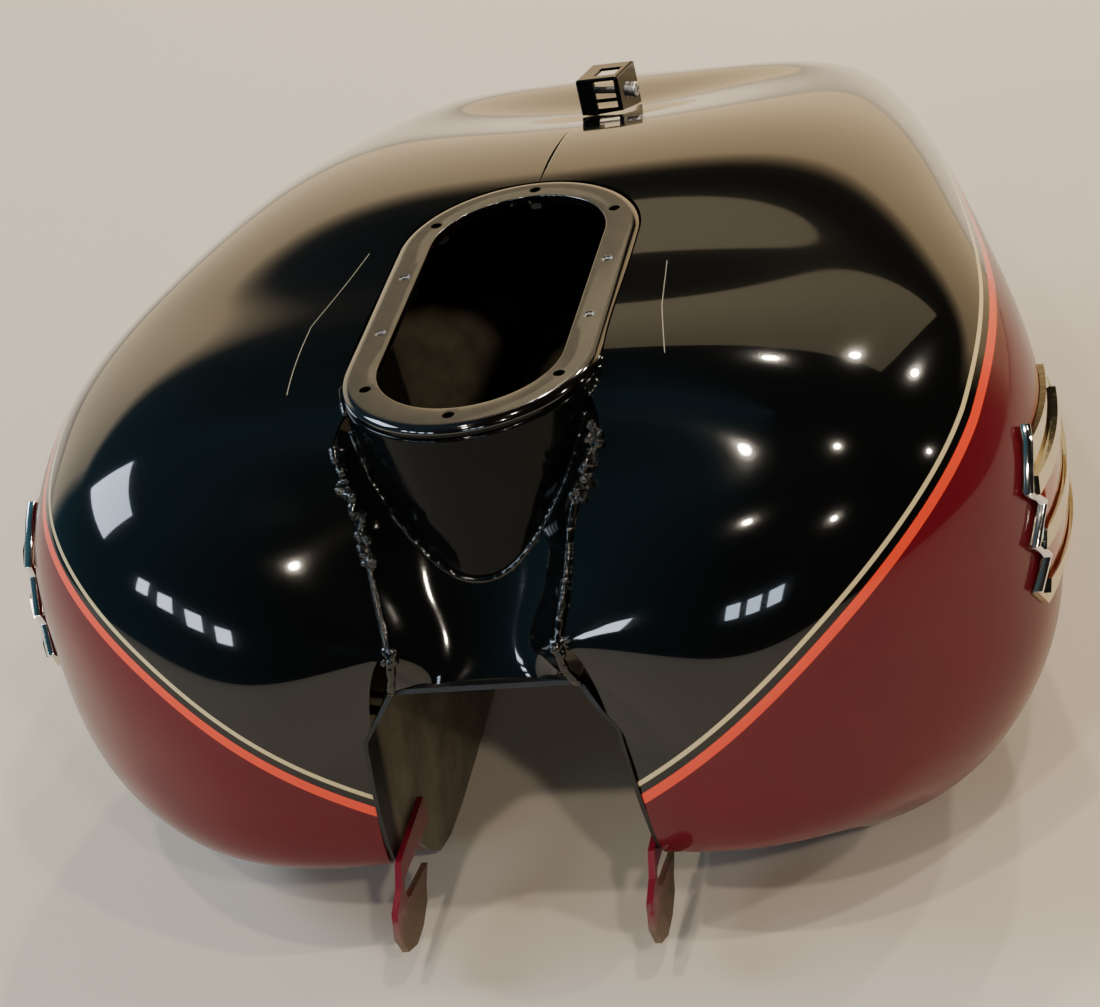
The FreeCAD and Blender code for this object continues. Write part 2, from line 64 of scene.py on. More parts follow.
# %% [markdown]
# ## The camera
# The tank is seen from the front and a little to its right, from above, and the view is
# rolled, because the tank leans. A long lens keeps the two lobes nearly the same size. The
# camera's own axes are built from three angles, so that each can be changed by itself.

# %% Camera
AZIMUTH, ELEVATION, ROLL = math.radians(17.32), math.radians(31.12), math.radians(-13.43)
CAMERA_AT = Vector((0.3563, -1.1338, 0.6059))
LENS_MM = 98.2

ahead = Vector((-math.sin(AZIMUTH) * math.cos(ELEVATION), math.cos(AZIMUTH) * math.cos(ELEVATION),
                -math.sin(ELEVATION)))
level = Vector((math.cos(AZIMUTH), math.sin(AZIMUTH), 0))
over = level.cross(ahead)
side = level * math.cos(ROLL) + over * math.sin(ROLL)
up = side.cross(ahead)
turn = Matrix((side, up, -ahead)).transposed().to_4x4()
camera_data = bpy.data.cameras.new("camera")
camera_data.lens = LENS_MM
camera_data.sensor_width = 36
camera = bpy.data.objects.new("camera", camera_data)
camera.matrix_world = Matrix.Translation(CAMERA_AT) @ turn
bpy.context.scene.collection.objects.link(camera)
bpy.context.scene.camera = camera

# %% [markdown]
# ## Colours and nodes
# Colours are written as sRGB hex values, as a paint chart gives them, and one function turns
# them to the linear values that the shader wants. One more function adds any node: plain
# values fill its sockets in order, a name with a capital fills the socket of that name, and
# a name in small letters is a setting of the node. It gives back the node's first output.

# %% Helpers for materials


def rgba(hex_code):
    """Linear colour of an sRGB hex value."""
    channels = [int(hex_code[k:k + 2], 16) / 255 for k in (1, 3, 5)]
    linear = [c / 12.92 if c <= 0.04045 else ((c + 0.055) / 1.055) ** 2.4 for c in channels]
    return (*linear, 1.0)


def add(tree, kind, *values, **named):
    """Add one node, with its settings and links, and return its first output."""
    node = tree.nodes.new("ShaderNode" + kind)
    for name, value in named.items():
        if name[0].islower():
            setattr(node, name, value)
    filled = list(zip([socket for socket in node.inputs if socket.enabled], values))
    filled += [(node.inputs[name.replace("_", " ")], value)
               for name, value in named.items() if name[0].isupper()]
    for socket, value in filled:
        if isinstance(value, bpy.types.NodeSocket):
            tree.links.new(value, socket)
        else:
            socket.default_value = value
    return next((socket for socket in node.outputs if socket.enabled), None)


def new_material(name):
    """An empty material, its tree and the object's own coordinates."""
    material = bpy.data.materials.new(name)
    material.use_nodes = True
    tree = material.node_tree
    tree.nodes.clear()
    return material, tree, add(tree, "TexCoord").node.outputs["Object"]


def surface(tree, **sockets):
    """Close a material with its shader. Sockets that are the same all over get numbers."""
    add(tree, "OutputMaterial", Surface=add(tree, "BsdfPrincipled", **sockets))


def band(tree, value, low, high, soft):
    """1 between low and high, fading over soft on each side."""
    rise = add(tree, "MapRange", value, low - soft, low + soft)
    fall = add(tree, "MapRange", value, high + soft, high - soft)
    return add(tree, "Math", rise, fall, operation="MULTIPLY")


# %% [markdown]
# ## Clear coat
# Every painted part is sprayed, rubbed down and lacquered. The lacquer mirrors the room,
# while the colour under it hardly mirrors at all, so the base's own specular is turned
# nearly off. Sprayed lacquer also dries with orange peel, a ripple a few millimetres across
# and about a hundredth of a millimetre high, which keeps reflections from being perfect.

# %% Orange peel
UNDER_COAT_SPECULAR = 0.08
COAT_ROUGHNESS = 0.03


def orange_peel(tree, place, height_mm):
    """The ripple of sprayed lacquer: 3 mm waves on slower 28 mm ones."""
    fine = add(tree, "TexNoise", place, 1000 / 3, 2.0)
    broad = add(tree, "TexNoise", place, 1000 / 28, 1.0)
    both = add(tree, "Math", broad, 3.0, fine, operation="MULTIPLY_ADD")
    return add(tree, "Bump", Height=both, Distance=height_mm * MM)


# %% [markdown]
# ## The coach line
# The tank is sprayed black over the top and wine red below. Where they meet runs an orange
# coach line, and above it a thin cream one. A painter lays such a line along masking tape.
# It follows a simple rule of height against width, so the material can work it out at
# every point: that height is the paint line, and bands of distance from it are the stripes.

# %% Height above the coach line
LINE_BASE = -0.215          # height of the coach line at the centre plane, metres
LINE_SLOPE = 0.80           # its rise for each metre out to the side
LINE_REAR_FROM = -0.060     # behind here it lifts a little more
LINE_REAR_RISE = 0.058
LINE_STRETCH = 1.28         # height difference per metre across the line
ORANGE_HALF = 0.0022
CREAM_NEAR, CREAM_FAR = 0.0056, 0.0076


def line_distance(tree, place):
    """Metres above the coach line, measured across it."""
    xyz = add(tree, "SeparateXYZ", place).node.outputs
    wide = add(tree, "Math", xyz["X"], operation="ABSOLUTE")
    line = add(tree, "Math", wide, LINE_SLOPE, LINE_BASE, operation="MULTIPLY_ADD")
    back = add(tree, "Math", xyz["Y"], LINE_REAR_FROM, operation="SUBTRACT")
    back = add(tree, "Math", back, 0.0, operation="MAXIMUM")
    line = add(tree, "Math", back, LINE_REAR_RISE, line, operation="MULTIPLY_ADD")
    above = add(tree, "Math", xyz["Z"], line, operation="SUBTRACT")
    return add(tree, "Math", above, LINE_STRETCH, operation="DIVIDE")


# %% [markdown]
# ## Painted highlight lines
# Fine pale lines are painted where thin highlights run: two beside the neck, and one along
# the crown where the lobes join. Each is a thin straight mark, so it is drawn
# where a point lies close enough to a line from one place to another, seen from above.

# %% Painted highlights beside the neck and along the crown's seam
PAINTED_HIGHLIGHT_HALF = 0.00022
# Each painted highlight line runs from (x, y) to (x, y) over the top of a lobe, in metres.
PAINTED_HIGHLIGHT_LINES = [((0.0007, 0.130), (0.0007, 0.250)), ((0.075, 0.022), (0.079, -0.020)),
             ((0.079, -0.020), (0.085, -0.056)), ((-0.072, 0.056), (-0.084, -0.010)),
             ((-0.084, -0.010), (-0.083, -0.062))]
PAINTED_HIGHLIGHTS_ABOVE = -0.060    # no highlight line is painted below this height


def highlight_line_mask(tree, place):
    """1 on each painted highlight line and 0 elsewhere."""
    xyz = add(tree, "SeparateXYZ", place).node.outputs
    marks = 0.0
    for start, end in PAINTED_HIGHLIGHT_LINES:
        x = add(tree, "MapRange", xyz["Y"], start[1], end[1], start[0], end[0])
        off = add(tree, "Math", xyz["X"], x, operation="SUBTRACT")
        off = add(tree, "Math", off, operation="ABSOLUTE")
        near = add(tree, "MapRange", off, PAINTED_HIGHLIGHT_HALF * 1.3, PAINTED_HIGHLIGHT_HALF * 0.7)
        low, high = sorted((start[1], end[1]))
        within = band(tree, xyz["Y"], low, high, 0.0005)
        mark = add(tree, "Math", near, within, operation="MULTIPLY")
        marks = add(tree, "Math", mark, marks, operation="MAXIMUM")
    on_top = add(tree, "MapRange", xyz["Z"], PAINTED_HIGHLIGHTS_ABOVE, PAINTED_HIGHLIGHTS_ABOVE + MM)
    return add(tree, "Math", marks, on_top, operation="MULTIPLY")


# %% [markdown]
# ## Two-tone enamel
# Cellulose enamel under lacquer: near black above the line, with a deep mirror gloss, and a
# wine red below it, which is less polished, so its lacquer counts for about half. Both
# colours drift very slightly over the width of a hand, as sprayed paint does.

# %% Two-tone clear-coated enamel
RED_COAT = 0.55


def two_tone_enamel():
    material, tree, place = new_material("two_tone_clearcoated_enamel")
    above = line_distance(tree, place)
    drift = add(tree, "TexNoise", place, 1000 / 60, 3.0)
    red = add(tree, "Mix", drift, rgba("#520A17"), rgba("#640D1B"), data_type="RGBA")
    drift = add(tree, "TexNoise", place, 1000 / 90, 3.0)
    black = add(tree, "Mix", drift, rgba("#050606"), rgba("#0A0B0C"), data_type="RGBA")
    edge = 0.00015
    is_black = add(tree, "MapRange", above, -edge, edge)
    colour = add(tree, "Mix", is_black, red, black, data_type="RGBA")
    off_line = add(tree, "Math", above, operation="ABSOLUTE")
    clear = add(tree, "MapRange", off_line, ORANGE_HALF - edge, ORANGE_HALF + edge)
    colour = add(tree, "Mix", clear, rgba("#E8442A"), colour, data_type="RGBA")
    middle, half = (CREAM_NEAR + CREAM_FAR) / 2, (CREAM_FAR - CREAM_NEAR) / 2
    from_cream = add(tree, "Math", above, middle, operation="SUBTRACT")
    from_cream = add(tree, "Math", from_cream, operation="ABSOLUTE")
    clear = add(tree, "MapRange", from_cream, half - edge, half + edge)
    colour = add(tree, "Mix", clear, rgba("#CDBB8E"), colour, data_type="RGBA")
    # pale grey lines painted in as highlights along the crown seam and beside the neck
    painted_highlight = highlight_line_mask(tree, place)
    colour = add(tree, "Mix", painted_highlight, colour, rgba("#8E8878"), data_type="RGBA")
    upper = add(tree, "MapRange", above, -0.004, 0.004)
    surface(tree, Base_Color=colour, Specular_IOR_Level=UNDER_COAT_SPECULAR,
            Roughness=add(tree, "Math", upper, -0.24, 0.36, operation="MULTIPLY_ADD"),
            Coat_Weight=add(tree, "Math", upper, 1 - RED_COAT, RED_COAT,
                            operation="MULTIPLY_ADD"),
            Coat_Roughness=COAT_ROUGHNESS, Normal=orange_peel(tree, place, 0.012))
    return material


TWO_TONE = two_tone_enamel()
print(TWO_TONE.name, len(TWO_TONE.node_tree.nodes), "nodes")

# %% [markdown]
# ## Plain black enamel
# The panel and the brackets are the same gloss black. The neck got a thinner coat of
# lacquer, so it mirrors the floor in front of it less than the lobes do.

# %% Gloss black


def gloss_black(name, coat_weight):
    """Black enamel with that much lacquer."""
    material, tree, place = new_material(name)
    drift = add(tree, "TexNoise", place, 1000 / 40, 3.0)
    surface(tree, Roughness=0.12, Specular_IOR_Level=UNDER_COAT_SPECULAR,
            Base_Color=add(tree, "Mix", drift, rgba("#050606"), rgba("#0B0C0D"),
                           data_type="RGBA"),
            Coat_Weight=coat_weight, Coat_Roughness=COAT_ROUGHNESS,
            Normal=orange_peel(tree, place, 0.015))
    return material


BLACK = gloss_black("gloss_black_enamel", 1.0)
NECK_BLACK = gloss_black("thin_gloss_black_enamel", 0.14)
print(BLACK.name, NECK_BLACK.name)

# %% [markdown]
# ## The ring's enamel
# A gasket sat on the ring's flat top and left it grey and dull, while the rolled edge round
# it stayed black and shiny. Height alone tells the two apart, because the top is flat.

# %% Gasket-dulled enamel


def flange_enamel():
    """Black enamel, greyed and roughened on the flat top only."""
    material, tree, place = new_material("gasket_dulled_black_enamel")
    z = add(tree, "SeparateXYZ", place).node.outputs["Z"]
    flat = add(tree, "MapRange", z, -0.0004, -0.0001)
    dust = add(tree, "TexNoise", place, 1000 / 9, 5.0, 0.6)
    dust = add(tree, "MapRange", dust, 0.35, 0.85)
    face = add(tree, "Mix", dust, rgba("#3A362E"), rgba("#4C463B"), data_type="RGBA")
    pits = add(tree, "TexNoise", place, 1000 / 1.5, 4.0)
    surface(tree, Base_Color=add(tree, "Mix", flat, rgba("#0B0809"), face, data_type="RGBA"),
            Roughness=add(tree, "Math", flat, 0.22, 0.08, operation="MULTIPLY_ADD"),
            Coat_Weight=0.9, Coat_Roughness=0.06,
            Normal=add(tree, "Bump", Height=pits, Distance=0.01 * MM))
    return material


FLANGE = flange_enamel()
print(FLANGE.name)

# %% [markdown]
# ## Enamel over weld
# Paint runs thick over a hand weld and softens it, so this black is glossier than the rest
# and its bump is broad, 4 mm across, like paint that sagged before it dried.

# %% Weld enamel


def weld_enamel():
    """The same black, thick over a hand weld."""
    material, tree, place = new_material("black_enamel_over_weld")
    sag = add(tree, "TexNoise", place, 1000 / 4, 2.0)
    surface(tree, Base_Color=rgba("#070808"), Roughness=0.1,
            Specular_IOR_Level=UNDER_COAT_SPECULAR, Coat_Weight=1.0, Coat_Roughness=0.02,
            Normal=add(tree, "Bump", Height=sag, Distance=0.15 * MM))
    return material


WELD = weld_enamel()
print(WELD.name)

# %% [markdown]
# ## Inside the sheet
# The inside of a tank is slushed with a sealer that dries to a dull olive grey with darker
# stains. The tunnel's lip at the mouth was sprayed black with the outside.

# %% Slushed sheet
LIP_BLACK_TO, LIP_GREY_FROM = -0.139, -0.132


def sheet_inside():
    """Olive grey sealer, stained, and black at the tunnel's front lip."""
    material, tree, place = new_material("slushed_sheet_inside")
    stain = add(tree, "TexNoise", place, 1000 / 30, 6.0, 0.6)
    stain = add(tree, "MapRange", stain, 0.4, 0.7)
    grey = add(tree, "Mix", stain, rgba("#5E5849"), rgba("#857D69"), data_type="RGBA")
    y = add(tree, "SeparateXYZ", place).node.outputs["Y"]
    behind = add(tree, "MapRange", y, LIP_BLACK_TO, LIP_GREY_FROM)
    grain = add(tree, "TexNoise", place, 1000 / 2, 4.0)
    surface(tree, Roughness=0.45, Normal=add(tree, "Bump", Height=grain, Distance=0.06 * MM),
            Base_Color=add(tree, "Mix", behind, rgba("#0B0A09"), grey, data_type="RGBA"))
    return material


INSIDE = sheet_inside()
print(INSIDE.name)

# %% [markdown]
# ## Bare metals
# Weld nuts, baffles and studs are mild steel as it left the mill: grey-brown, mottled and
# half dull. Spigots and screws are zinc plated, which is paler and has fine crystals.

# %% Steel and zinc


def bare_steel():
    """Mill-finish steel, mottled over about 12 mm."""
    material, tree, place = new_material("mill_finish_mild_steel")
    mottle = add(tree, "TexNoise", place, 1000 / 12, 6.0, 0.6)
    grain = add(tree, "TexNoise", place, 1000 / 1, 4.0)
    surface(tree, Metallic=1.0, Roughness=0.42,
            Base_Color=add(tree, "Mix", mottle, rgba("#6A655E"), rgba("#948E84"),
                           data_type="RGBA"),
            Normal=add(tree, "Bump", Height=grain, Distance=0.02 * MM))
    return material


def zinc_plate():
    """Bright zinc, with crystals under 1 mm."""
    material, tree, place = new_material("bright_zinc_plate")
    cloud = add(tree, "TexNoise", place, 1000 / 3, 3.0)
    crystals = add(tree, "TexNoise", place, 1000 / 0.8, 2.0)
    surface(tree, Metallic=1.0, Roughness=0.36,
            Base_Color=add(tree, "Mix", cloud, rgba("#D6D9DD"), rgba("#F0F2F4"),
                           data_type="RGBA"),
            Normal=add(tree, "Bump", Height=crystals, Distance=0.01 * MM))
    return material


STEEL, ZINC = bare_steel(), zinc_plate()
print(STEEL.name, ZINC.name)

# %% [markdown]
# ## Badge finishes
# The badges are chrome plate over a die casting. The broad face is duller in patches, and its tan
# colour is a painted reflection of a warm room; the zigzag bar is still bright. The bands between
# are fired red enamel.

# %% Chrome and enamel


def chrome(name, main_colour, patch_colour):
    """Polished plate, duller in patches, where its colour moves to a second tint; the badge
    face's tints are a painted reflection.
    """
    material, tree, place = new_material(name)
    haze_and_reflection_tint = add(tree, "TexNoise", place, 1000 / 9, 5.0, 0.6)
    haze_and_reflection_tint = add(tree, "MapRange", haze_and_reflection_tint, 0.55, 0.8)
    wave = add(tree, "TexNoise", place, 1000 / 5, 2.0)
    surface(tree, Metallic=1.0,
            Base_Color=add(tree, "Mix", haze_and_reflection_tint, rgba(main_colour), rgba(patch_colour), data_type="RGBA"),
            Roughness=add(tree, "Math", haze_and_reflection_tint, 0.12, 0.06, operation="MULTIPLY_ADD"),
            Normal=add(tree, "Bump", Height=wave, Distance=0.02 * MM))
    return material


def badge_enamel():
    """Fired glass enamel: clouded red with a slightly uneven skin."""
    material, tree, place = new_material("vitreous_red_enamel")
    cloud = add(tree, "TexNoise", place, 1000 / 6, 3.0)
    skin = add(tree, "TexNoise", place, 1000 / 1.2, 2.0)
    surface(tree, Roughness=0.2, Coat_Weight=1.0, Coat_Roughness=0.05,
            Base_Color=add(tree, "Mix", cloud, rgba("#7A1E16"), rgba("#9A3020"),
                           data_type="RGBA"),
            Normal=add(tree, "Bump", Height=skin, Distance=0.02 * MM))
    return material


# the badge face's two tan colours are a painted reflection of a warm room, mixed in patches
CHROME_WITH_PAINTED_REFLECTION = chrome("chrome_plate_with_painted_warm_reflection", "#D9CDB2", "#B8A27A")
BRIGHT = chrome("polished_chrome_plate", "#E8E8E8", "#CFC9BC")
ENAMEL = badge_enamel()
print(CHROME_WITH_PAINTED_REFLECTION.name, BRIGHT.name, ENAMEL.name)

# %% [markdown]
# ## Worn ears
# The ears are painted wine red, but bolts and the frame have rubbed their hooks down to
# brown, rusty steel. Wear follows height, and noise makes its edge ragged.

# %% Worn paint on the ears
EAR_WORN_BELOW = -0.2155    # the hooks are rubbed bare below about this height


def worn_ear():
    """Wine red paint above, brown rubbed steel round the hook."""
    material, tree, place = new_material("worn_red_paint_on_steel")
    z = add(tree, "SeparateXYZ", place).node.outputs["Z"]
    ragged = add(tree, "TexNoise", place, 1000 / 9, 5.0, 0.6)
    height = add(tree, "Math", ragged, 0.022, z, operation="MULTIPLY_ADD")
    worn = add(tree, "MapRange", height, EAR_WORN_BELOW + 0.014, EAR_WORN_BELOW + 0.004)
    rust = add(tree, "TexNoise", place, 1000 / 3.5, 6.0, 0.65)
    rust = add(tree, "Mix", rust, rgba("#4A3A2E"), rgba("#8A7663"), data_type="RGBA")
    pits = add(tree, "TexNoise", place, 1000 / 2, 5.0, 0.6)
    surface(tree, Base_Color=add(tree, "Mix", worn, rgba("#6A1226"), rust, data_type="RGBA"),
            Metallic=add(tree, "Math", worn, 0.55, operation="MULTIPLY"),
            Roughness=add(tree, "Math", worn, 0.3, 0.22, operation="MULTIPLY_ADD"),
            Normal=add(tree, "Bump", Height=pits, Distance=0.06 * MM))
    return material


EAR = worn_ear()
print(EAR.name)

# %% [markdown]
# ## The form of a lobe
# Pressed sheet has no flat places to build from, so the skin is a net of ribs. Each rib
# starts at the top seam, swells to its widest point and tucks under to its foot. Three
# smooth rails give those places from the tunnel mouth round to the tail, and two numbers
# say how full the rib is above and below. A grid primitive is laid over the net.

# %% Rails and ribs
STATIONS = [
    ((37, -144, -88), (54, -150, -150), (50, -137, -205), 2.0, 2.8),
    ((42, -128, -68), (112, -158, -155), (58, -128, -204), 2.4, 3.5),
    ((46, -112, -47), (155, -144, -150), (60, -115, -212), 3.0, 3.3),
    ((54, -98, -31), (188, -121, -136), (60, -100, -228), 3.4, 2.9),
    ((57, -80, -14), (217, -87, -134), (60, -75, -248), 3.3, 2.6),
    ((30, -40, -2), (234, -40, -136), (60, -30, -251), 3.3, 2.4),
    ((0, 30, -2), (231, 28, -124), (60, 40, -249), 3.9, 2.5),
    ((0, 110, -1), (210, 115, -117), (60, 120, -242), 3.7, 2.5),
    ((0, 190, -12), (179, 225, -106), (58, 200, -228), 3.4, 2.5),
    ((0, 257, -35), (134, 342, -94), (50, 260, -211), 2.8, 2.4),
    ((0, 315, -45), (76, 371, -96), (30, 310, -189), 2.3, 2.4),
    ((0, 366, -64), (0, 376, -108), (0, 352, -168), 1.8, 2.4),
]
SKIN = 1.6 * MM
PAN_SPLIT = -0.218
LAST = len(STATIONS) - 1


def rail(points):
    """Smooth cubic through the points, with t = 0, 1, 2... at each of them."""
    p = np.array(points, float)
    n = len(p)
    system = np.zeros((n, n))
    target = np.zeros_like(p)
    system[0, 0] = system[-1, -1] = 1
    target[0] = (-11 * p[0] + 18 * p[1] - 9 * p[2] + 2 * p[3]) / 6
    target[-1] = (11 * p[-1] - 18 * p[-2] + 9 * p[-3] - 2 * p[-4]) / 6
    for i in range(1, n - 1):
        system[i, i - 1:i + 2] = 1, 4, 1
        target[i] = 3 * (p[i + 1] - p[i - 1])
    slope = np.linalg.solve(system, target)

    def at(t):
        t = np.asarray(t, float)
        i = np.clip(np.floor(t).astype(int), 0, n - 2)
        s = (t - i)[..., None]
        a, b, da, db = p[i], p[i + 1], slope[i], slope[i + 1]
        return ((2 * s**3 - 3 * s**2 + 1) * a + (s**3 - 2 * s**2 + s) * da
                + (3 * s**2 - 2 * s**3) * b + (s**3 - s**2) * db)

    return at


def body_rail(column):
    """A rail of the lobe, carried past the tail as its own mirror image."""
    points = [station[column] for station in STATIONS]
    return rail(points + [(-x, y, z) for x, y, z in (points[-2], points[-3])])


TOP, GIRTH, FOOT = body_rail(0), body_rail(1), body_rail(2)
FULLNESS = rail([(s[3], s[4]) for s in STATIONS])


def skin_points(t, v):
    """Points of the outer skin in metres: t along the rails, v 0 to 2 down the rib."""
    upper = v <= 1
    angle = np.where(upper, v, v - 1) * math.pi / 2
    sine, cosine = np.sin(angle), np.maximum(np.cos(angle), 0)
    full = FULLNESS(t)
    power = 2 / np.where(upper, full[..., 0], full[..., 1])
    out = np.where(upper, sine, cosine) ** power
    rise = np.where(upper, cosine, sine) ** power
    back = np.where(upper, out ** (1 + np.clip((t - 5) / 3, 0, 1)), out)
    end = np.where(upper[..., None], TOP(t), FOOT(t))
    girth = GIRTH(t)
    return MM * np.stack([end[..., 0] + (girth[..., 0] - end[..., 0]) * out,
                          end[..., 1] + (girth[..., 1] - end[..., 1]) * back,
                          girth[..., 2] + (end[..., 2] - girth[..., 2]) * rise], axis=-1)


# %% [markdown]
# ## Working by hand, in code
# An operator works on what is selected, so each helper clears the selection first.

# %% Helpers for meshes


def clear_selection():
    for other in bpy.context.selected_objects:
        other.select_set(False)


def only(piece):
    """Make piece the one selected and active object."""
    clear_selection()
    piece.hide_viewport = False
    piece.select_set(True)
    bpy.context.view_layer.objects.active = piece


def apply_modifier(piece, name, kind, **settings):
    only(piece)
    modifier = piece.modifiers.new(name, kind)
    for key, value in settings.items():
        setattr(modifier, key, value)
    bpy.ops.object.modifier_apply(modifier=modifier.name)


def edit_all(piece, *steps):
    """Run edit-mode operators with the whole mesh selected."""
    only(piece)
    bpy.ops.object.mode_set(mode="EDIT")
    for step in steps:
        bpy.ops.mesh.select_all(action="SELECT")
        step()
    bpy.ops.object.mode_set(mode="OBJECT")


def merge():
    bpy.ops.mesh.remove_doubles(threshold=1e-6)


def outward():
    bpy.ops.mesh.normals_make_consistent(inside=False)


def smooth(piece, degrees=35):
    only(piece)
    bpy.ops.object.shade_smooth_by_angle(angle=math.radians(degrees))


def dress(piece, material):
    """Give a piece its one material."""
    piece.data.materials.clear()
    piece.data.materials.append(material)


def net(name, rows, columns, points):
    """A grid primitive laid over an array of points, rows by columns."""
    clear_selection()
    bpy.ops.mesh.primitive_grid_add(x_subdivisions=columns - 1, y_subdivisions=rows - 1, size=2)
    piece = bpy.context.object
    piece.name = piece.data.name = name
    corners = np.zeros(len(piece.data.vertices) * 3)
    piece.data.vertices.foreach_get("co", corners)
    corners = corners.reshape(-1, 3)
    column = np.rint((corners[:, 0] + 1) / 2 * (columns - 1)).astype(int)
    row = np.rint((corners[:, 1] + 1) / 2 * (rows - 1)).astype(int)
    piece.data.vertices.foreach_set("co", points[row, column].ravel())
    piece.data.update()
    return piece


def as_piece(name, mesh):
    """Turn a bmesh into the mesh of a new object, in place of a cube primitive's."""
    clear_selection()
    bpy.ops.mesh.primitive_cube_add(size=1)
    piece = bpy.context.object
    piece.name = piece.data.name = name
    mesh.to_mesh(piece.data)
    mesh.free()
    return piece


def cut_with(piece, cutter, operation="DIFFERENCE"):
    apply_modifier(piece, "cut", "BOOLEAN", object=cutter, operation=operation, solver="EXACT")


def keep_part(piece, height, above):
    """Slice at a height and keep the part above or below it, closed with a face."""
    edit_all(piece, lambda: bpy.ops.mesh.bisect(
        plane_co=(0, 0, height), plane_no=(0, 0, 1), use_fill=True,
        clear_inner=above, clear_outer=not above))


def mirror_copy(piece, name):
    """The left-hand twin of a right-hand piece, turned right side out."""
    twin = piece.copy()
    twin.data = piece.data.copy()
    twin.name = twin.data.name = name
    bpy.context.scene.collection.objects.link(twin)
    twin.data.transform(Matrix.Diagonal((-1, 1, 1, 1)))
    twin.data.flip_normals()
    return twin


# %% [markdown]
# ## Cutters
# The neck and the frame tunnel pass through both lobes. Each is cut with a solid of its own
# outside shape, which is thrown away afterwards.

# %% Cutters for the neck and the tunnel
END_CENTRE, NECK_R = 0.0535, 0.0578
ROOF_FRONT, ROOF_SLOPE, MOUTH_Y = -0.109, -0.083, -0.143


def stadium_solid(name, radius, low, high):
    """Upright prism with two half-round ends."""
    clear_selection()
    bpy.ops.mesh.primitive_cylinder_add(vertices=128, radius=radius, depth=high - low,
                                        location=(0, 0, (low + high) / 2))
    prism = bpy.context.object
    prism.name = name
    bpy.ops.object.transform_apply(location=True)
    for vertex in prism.data.vertices:
        vertex.co.y += math.copysign(END_CENTRE, vertex.co.y) if abs(vertex.co.y) > 1e-6 else 0
    return prism


def solid_between(name, first, second):
    """A closed solid between two outlines that have the same number of corners."""
    mesh = bmesh.new()
    near = [mesh.verts.new(point) for point in first]
    far = [mesh.verts.new(point) for point in second]
    mesh.faces.new(near)
    mesh.faces.new(list(reversed(far)))
    for k in range(len(near)):
        n = (k + 1) % len(near)
        mesh.faces.new((near[n], near[k], far[k], far[n]))
    bmesh.ops.recalc_face_normals(mesh, faces=mesh.faces)
    return as_piece(name, mesh)


def tunnel_outline(y):
    """The tunnel's outside at y: roof, two chamfers and splayed walls."""
    roof = ROOF_FRONT + (y - MOUTH_Y) * ROOF_SLOPE
    half = [(0.0668, -0.268), (0.057, roof - 0.022), (0.042, roof)]
    return [(x, y, z) for x, z in half] + [(-x, y, z) for x, z in reversed(half)]


neck_cutter = stadium_solid("neck_cutter", NECK_R, -0.12, 0.03)
tunnel_cutter = solid_between("tunnel_cutter", tunnel_outline(-0.19), tunnel_outline(0.40))
print("cutters", len(neck_cutter.data.polygons), len(tunnel_cutter.data.polygons), "faces")

# %% [markdown]
# ## The two lobes
# The net becomes sheet by giving it a wall inwards, then it is cut where the neck and the
# tunnel go through. A slice near the bottom parts the pressed shell from its floor pan.

# %% Lobe skins and floor pans
RIBS, RIB_POINTS = 11 * 18 + 1, 105


def lobe_skin():
    """The right lobe as painted sheet, sealed inside, with the neck and tunnel cut out."""
    t, v = np.meshgrid(np.linspace(0, LAST, RIBS), np.linspace(0, 2, RIB_POINTS), indexing="ij")
    points = skin_points(t, v)
    points[-1, :, 0] = 0
    piece = net("right_lobe", RIBS, RIB_POINTS, points)
    piece.data.materials.append(TWO_TONE)
    piece.data.materials.append(INSIDE)
    facing = piece.data.polygons[len(piece.data.polygons) // 3]
    if facing.normal.dot(facing.center - Vector((0.08, 0.05, -0.12))) < 0:
        piece.data.flip_normals()
    apply_modifier(piece, "wall", "SOLIDIFY", thickness=SKIN, offset=-1, use_even_offset=True,
                   material_offset=1)
    cut_with(piece, neck_cutter)
    cut_with(piece, tunnel_cutter)
    return piece


right_lobe = lobe_skin()
right_pan = right_lobe.copy()
right_pan.data = right_lobe.data.copy()
right_pan.name = right_pan.data.name = "right_floor_pan"
bpy.context.scene.collection.objects.link(right_pan)
keep_part(right_lobe, PAN_SPLIT, True)
keep_part(right_pan, PAN_SPLIT, False)
left_lobe = mirror_copy(right_lobe, "left_lobe")
left_pan = mirror_copy(right_pan, "left_floor_pan")
for piece, node in ((right_lobe, "right_shell"), (left_lobe, "left_shell"),
                    (right_pan, "right_bottom_pan"), (left_pan, "left_bottom_pan")):
    smooth(piece, 40)
    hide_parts(node)
    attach(piece, "root")
    print(piece.name, len(piece.data.polygons), "faces")

# %% [markdown]
# ## The pump ring and its neck
# The ring's top was ground flat and its outer edge rolled over generously. Under it the neck
# steps in, and a small fillet of weld and filler runs round its foot. One profile swept
# round the oval gives all of it: the profile's points say how far out from the hole's edge
# and how high each bend lies, and the oval is a half circle at each end of a straight.

# %% Ring and neck
RING_OUT, RING_IN, RING_THICK = 0.0575, 0.0415, 0.004
OVAL_STEPS = 96


def oval(radius, k):
    """Point k of OVAL_STEPS round the neck's oval, and the way out from it there."""
    angle = 2 * math.pi * (k + 0.5) / OVAL_STEPS
    x, y = math.cos(angle), math.sin(angle)
    return Vector((radius * x, radius * y + math.copysign(END_CENTRE, y), 0)), Vector((x, y, 0))


